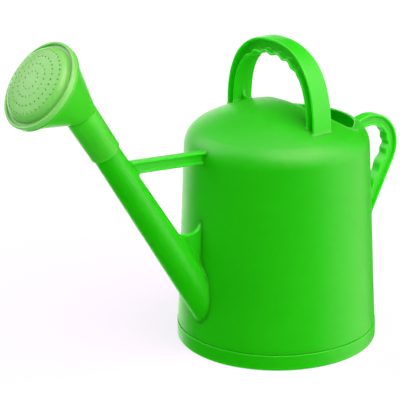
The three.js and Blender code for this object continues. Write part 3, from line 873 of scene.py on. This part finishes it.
def make_funnel(material):
    start = SLEEVE_END + GAP
    lip = -FACE_SKIRT - 2 * GAP
    rim_foot = -FUNNEL_RIM_DEPTH

    def at_spout(radius, station):
        return circle(SPOUT_FRAME.place, radius, station, FUNNEL_COLUMNS)

    def at_rose(radius, station):
        return circle(ROSE_FRAME.place, radius, station, FUNNEL_COLUMNS)

    def between(first, last, shares):
        return [first + (last - first) * share for share in shares]

    small = at_spout(SLEEVE_RADIUS_END, start + FUNNEL_FOOT)
    large = at_rose(FUNNEL_CONE_RADIUS, -FUNNEL_CONE_DEPTH)
    rings = [at_spout(SLEEVE_RADIUS_END - SLEEVE_EDGE, start)]
    rings += [at_spout(SLEEVE_RADIUS_END, start + SLEEVE_EDGE)]
    rings += between(small, large, FUNNEL_ROWS)

    rim = [(FUNNEL_RIM_RADIUS - FUNNEL_RIM_ROUND, rim_foot)]
    rim += [(FUNNEL_RIM_RADIUS - RIM_EDGE, rim_foot + FLOOR_EDGE)]
    rim += [(FUNNEL_RIM_RADIUS, rim_foot + FUNNEL_RIM_ROUND)]
    rim += [(FUNNEL_RIM_RADIUS, lip - FLOOR_EDGE), (FUNNEL_RIM_RADIUS - FLOOR_EDGE, lip)]
    rim += [(SPIGOT_RADIUS + CREASE, lip), (SPIGOT_RADIUS, lip + CREASE)]
    rim += [(SPIGOT_RADIUS, SPIGOT_TOP - RIM_EDGE), (SPIGOT_RADIUS - RIM_EDGE, SPIGOT_TOP)]
    rim += [(FUNNEL_BORE + RIM_EDGE, SPIGOT_TOP), (FUNNEL_BORE, SPIGOT_TOP - RIM_EDGE)]
    rings += [at_rose(r, s) for r, s in rim]

    inner_small = at_spout(ROSE_BORE, start + RIM_EDGE)
    inner_large = at_rose(FUNNEL_BORE, -FUNNEL_CONE_DEPTH)
    rings += between(inner_large, inner_small, BORE_ROWS)
    rings += [at_spout(ROSE_BORE + RIM_EDGE, start)]
    add_piece("rose_funnel_shell", ring_grid(rings), "funnel", "rose_funnel", material)


def make_face(material):
    rise = ROSE_BULGE - FACE_EDGE_Z
    sphere = (FACE_DOME_RADIUS ** 2 + rise ** 2) / (2 * rise)
    floor_low = SPIGOT_TOP + GAP
    floor_half = (FACE_FLOOR_HALF_WIDTH, (FACE_GROOVE_Z - floor_low) / 2)
    floor_centre = (FACE_GROOVE_RADIUS - 1, floor_low + floor_half[1])
    bead_half = ((ROSE_RADIUS - FACE_GROOVE_RADIUS) / 2, (FACE_BEAD_Z - floor_low) / 2)
    bead_centre = (ROSE_RADIUS - bead_half[0], FACE_BEAD_Z - bead_half[1])
    skirt_inner = SPIGOT_RADIUS + GAP
    skirt_half = ((ROSE_RADIUS - skirt_inner) / 2, (FACE_SKIRT + FACE_SKIRT_TOP) / 2)
    skirt_centre = (ROSE_RADIUS - skirt_half[0], FACE_SKIRT_TOP - skirt_half[1])

    def distance(across, y, along):
        radius = np.hypot(across, y)
        cap = np.hypot(radius, along - ROSE_BULGE + sphere) - sphere
        plate = soft_max(cap, radius - FACE_WALL_RADIUS, FACE_RIM_BLEND)
        plate = np.maximum(np.maximum(plate, -plate - FACE_SKIN), floor_low - along)
        floor = round_box(radius, along, floor_centre, floor_half, FACE_FLOOR_EDGE)
        bead = round_box(radius, along, bead_centre, bead_half, FACE_BEAD_EDGE)
        skirt = round_box(radius, along, skirt_centre, skirt_half, FACE_SKIRT_EDGE)
        rim = soft_min(bead, skirt, FACE_SKIRT_BLEND)
        face = soft_min(soft_min(plate, floor, FACE_FLOOR_BLEND), rim, FACE_BEAD_BLEND)
        turn = np.arctan2(y, across)
        for ring_radius, count in SPRAY_RINGS:
            pitch = 2 * math.pi / count
            offset = turn - pitch * np.round(turn / pitch)
            outwards = radius * np.cos(offset) - ring_radius
            hole = np.hypot(outwards, radius * np.sin(offset)) - SPRAY_HOLE_RADIUS
            face = soft_max(face, -hole, SPRAY_HOLE_EDGE)
        return face

    margin = 1.5
    reach = ROSE_RADIUS + margin
    low = (-reach, -reach, -FACE_SKIRT - margin)
    high = (reach, reach, ROSE_BULGE + margin)
    net = surface_net(distance, low, high, FACE_CELL, ROSE_FRAME.place)
    add_piece("rose_face_plate", net, "face", "rose_face", material)


# ---------------------------------------------------------------- materials

# name: colour, roughness, strength of the grain, share of light that passes into the plastic
PLASTICS = {
    "body_plastic": ((0.011, 0.55, 0.002), 0.42, 0.35, 1.0),
    # the handles' green is lighter than the body's as painted fill light, offsetting the shade in their
    # recessed channels
    "handle_plastic": ((0.014, 0.62, 0.003), 0.38, 0.25, 0.8),
    "rose_plastic": ((0.03, 0.6, 0.008), 0.36, 0.2, 0.7),
    # the face's green is its own colour; the extra red and blue that pale it are a painted sheen over the
    # whole face
    "face_plastic": ((0.13, 0.62, 0.09), 0.3, 0.3, 0.3),
}
PLASTIC_IOR = 1.49
PLASTIC_SPECULAR = 0.42
GLOW_REACH = (0.25, 1.0, 0.1)
GLOW_DEPTH = 9 * MM

# features per metre, detail, roughness
FLOW_MARKS = (14, 3, 0.5)
GLOSS_CLOUDS = (55, 4, 0.6)
FINE_GRAIN = (1500, 2, 0.6)
SINK_MARKS = (110, 2, 0.5)

DARKER = (0.93, 0.965, 0.93)
LIGHTER = (1.07, 1.025, 1.07)
NOISE_LOW = 0.3
NOISE_HIGH = 0.7
GLOSSIER = 0.035
DULLER = 0.045
GRAIN_HEIGHT = 0.06 * MM
SINK_HEIGHT = 0.3 * MM
SINK_STRENGTH = 0.25


def moulded_plastic(name, colour, roughness, grain, translucency):
    """Satin polypropylene: a fine moulded grain, faint flow marks and slight variation of gloss."""
    material = bpy.data.materials.new(name)
    material.use_nodes = True
    nodes = material.node_tree.nodes
    links = material.node_tree.links
    nodes.clear()
    output = nodes.new("ShaderNodeOutputMaterial")
    shader = nodes.new("ShaderNodeBsdfPrincipled")
    links.new(shader.outputs["BSDF"], output.inputs["Surface"])
    shader.inputs["IOR"].default_value = PLASTIC_IOR
    shader.inputs["Specular IOR Level"].default_value = PLASTIC_SPECULAR
    shader.inputs["Subsurface Weight"].default_value = translucency
    shader.inputs["Subsurface Radius"].default_value = GLOW_REACH
    shader.inputs["Subsurface Scale"].default_value = GLOW_DEPTH
    place = nodes.new("ShaderNodeTexCoord")

    def noise(scale, detail, rough):
        texture = nodes.new("ShaderNodeTexNoise")
        texture.inputs["Scale"].default_value = scale
        texture.inputs["Detail"].default_value = detail
        texture.inputs["Roughness"].default_value = rough
        links.new(place.outputs["Object"], texture.inputs["Vector"])
        return texture.outputs["Fac"]

    def bump(height, strength, distance):
        node = nodes.new("ShaderNodeBump")
        node.inputs["Strength"].default_value = strength
        node.inputs["Distance"].default_value = distance
        links.new(height, node.inputs["Height"])
        return node

    colours = nodes.new("ShaderNodeValToRGB")
    ends = ((NOISE_LOW, DARKER), (NOISE_HIGH, LIGHTER))
    for element, (position, factors) in zip(colours.color_ramp.elements, ends):
        element.position = position
        element.color = (*(base * factor for base, factor in zip(colour, factors)), 1)
    links.new(noise(*FLOW_MARKS), colours.inputs["Fac"])
    links.new(colours.outputs["Color"], shader.inputs["Base Color"])

    gloss = nodes.new("ShaderNodeMapRange")
    gloss.inputs["From Min"].default_value = NOISE_LOW
    gloss.inputs["From Max"].default_value = NOISE_HIGH
    gloss.inputs["To Min"].default_value = roughness - GLOSSIER
    gloss.inputs["To Max"].default_value = roughness + DULLER
    links.new(noise(*GLOSS_CLOUDS), gloss.inputs["Value"])
    links.new(gloss.outputs["Result"], shader.inputs["Roughness"])

    grain_bump = bump(noise(*FINE_GRAIN), grain, GRAIN_HEIGHT)
    sink_bump = bump(noise(*SINK_MARKS), SINK_STRENGTH, SINK_HEIGHT)
    links.new(grain_bump.outputs["Normal"], sink_bump.inputs["Normal"])
    links.new(sink_bump.outputs["Normal"], shader.inputs["Normal"])
    return material


FLOOR_GREY = 0.2
FLOOR_ROUGHNESS = 0.9
FLOOR_GLOW = 0.72
FLOOR_GLOW_COLOUR = (1, 1.04, 1.07)


def floor_material():
    material = bpy.data.materials.new("pale_floor")
    material.use_nodes = True
    shader = material.node_tree.nodes["Principled BSDF"]
    shader.inputs["Base Color"].default_value = (FLOOR_GREY, FLOOR_GREY, FLOOR_GREY, 1)
    shader.inputs["Roughness"].default_value = FLOOR_ROUGHNESS
    shader.inputs["Specular IOR Level"].default_value = 0.0
    shader.inputs["Emission Color"].default_value = (*FLOOR_GLOW_COLOUR, 1)
    shader.inputs["Emission Strength"].default_value = FLOOR_GLOW
    return material


# ---------------------------------------------------------------- camera, light and floor

AMBIENT = 0.005
FLOOR_HALF_SIZE = 12
CAMERA_DISTANCE = 2.1
CAMERA_HEIGHT = 0.90117
CAMERA_AZIMUTH = math.radians(38.758)
CAMERA_YAW = math.radians(-2.38)
CAMERA_PITCH = math.radians(19.39)
CAMERA_ROLL = math.radians(-0.59)
CAMERA_LENS = 175.5
CAMERA_SENSOR = 36


def add_camera():
    """A long lens on the spout's side, aimed down at the can. Its place is in metres."""
    camera = bpy.data.objects.new("camera", bpy.data.cameras.new("camera"))
    bpy.context.scene.collection.objects.link(camera)
    camera.data.lens = CAMERA_LENS
    camera.data.sensor_width = CAMERA_SENSOR
    camera.location = (
        -CAMERA_DISTANCE * math.sin(CAMERA_AZIMUTH),
        -CAMERA_DISTANCE * math.cos(CAMERA_AZIMUTH),
        CAMERA_HEIGHT,
    )
    heading = -CAMERA_AZIMUTH - CAMERA_YAW
    tilt = Matrix.Rotation(math.pi / 2 - CAMERA_PITCH, 3, "X")
    turn = Matrix.Rotation(heading, 3, "Z") @ tilt @ Matrix.Rotation(CAMERA_ROLL, 3, "Z")
    camera.rotation_euler = turn.to_euler()
    bpy.context.scene.camera = camera


def facing(azimuth, elevation):
    """A direction in degrees from the camera's own azimuth, positive to its right, and above level."""
    turn = math.radians(azimuth)
    rise = math.radians(elevation)
    across = Vector((math.cos(CAMERA_AZIMUTH), -math.sin(CAMERA_AZIMUTH), 0))
    nearer = Vector((-math.sin(CAMERA_AZIMUTH), -math.cos(CAMERA_AZIMUTH), 0))
    level = across * math.sin(turn) + nearer * math.cos(turn)
    return level * math.cos(rise) + Vector((0, 0, math.sin(rise)))


# name: azimuth, elevation, full out to, faded by (degrees), radiance in red, green and blue
SOFTBOXES = {
    "front_top": (41, 55, 10, 42, (5.3, 3.6, 3.6)),
    "right_front": (76, 22, 10, 40, (2.7, 1.25, 2.2)),
    "right": (98, -22, 14, 46, (2.1, 1.4, 1.5)),
    "left": (-108, 32, 8, 34, (3.4, 2.3, 3.2)),
    "left_back": (-162, -14, 16, 40, (2.3, 2.2, 2.1)),
    "top": (-10, 80, 14, 52, (1.5, 0.55, 1.4)),
}


def light_scene():
    """A dark studio with large soft panels, painted on the world."""
    world = bpy.data.worlds.new("studio")
    world.use_nodes = True
    nodes = world.node_tree.nodes
    links = world.node_tree.links
    background = nodes["Background"]
    background.inputs["Strength"].default_value = 1
    outwards = nodes.new("ShaderNodeTexCoord")
    total = None
    for name, (azimuth, elevation, core, edge, glow) in SOFTBOXES.items():
        angle = nodes.new("ShaderNodeVectorMath")
        angle.name = name
        angle.operation = "DOT_PRODUCT"
        angle.inputs[1].default_value = facing(azimuth, elevation)
        links.new(outwards.outputs["Generated"], angle.inputs[0])
        panel = nodes.new("ShaderNodeMapRange")
        panel.interpolation_type = "SMOOTHSTEP"
        panel.inputs["From Min"].default_value = math.cos(math.radians(edge))
        panel.inputs["From Max"].default_value = math.cos(math.radians(core))
        links.new(angle.outputs["Value"], panel.inputs["Value"])
        added = nodes.new("ShaderNodeVectorMath")
        added.operation = "MULTIPLY_ADD"
        added.inputs[1].default_value = glow
        added.inputs[2].default_value = (AMBIENT, AMBIENT, AMBIENT)
        links.new(panel.outputs["Result"], added.inputs[0])
        if total is not None:
            links.new(total.outputs["Vector"], added.inputs[2])
        total = added
    links.new(total.outputs["Vector"], background.inputs["Color"])
    bpy.context.scene.world = world
    bpy.context.scene.view_settings.view_transform = "Standard"


def add_floor():
    half = FLOOR_HALF_SIZE
    corners = [(-half, -half, 0), (half, -half, 0), (half, half, 0), (-half, half, 0)]
    mesh = bpy.data.meshes.new("floor")
    mesh.from_pydata(corners, [], [(0, 1, 2, 3)])
    floor = bpy.data.objects.new("floor", mesh)
    bpy.context.scene.collection.objects.link(floor)
    mesh.materials.append(floor_material())
    floor.visible_glossy = False


# ---------------------------------------------------------------- the can

add_camera()
light_scene()
add_floor()

plastics = {name: moulded_plastic(name, *look) for name, look in PLASTICS.items()}

make_tank(plastics["body_plastic"])
make_base(plastics["body_plastic"])
make_spout(plastics["body_plastic"])
make_brace(plastics["body_plastic"])
make_top_handle(plastics["handle_plastic"])
make_rear_handle(plastics["handle_plastic"])
make_sleeve(plastics["rose_plastic"])
make_funnel(plastics["rose_plastic"])
make_face(plastics["face_plastic"])
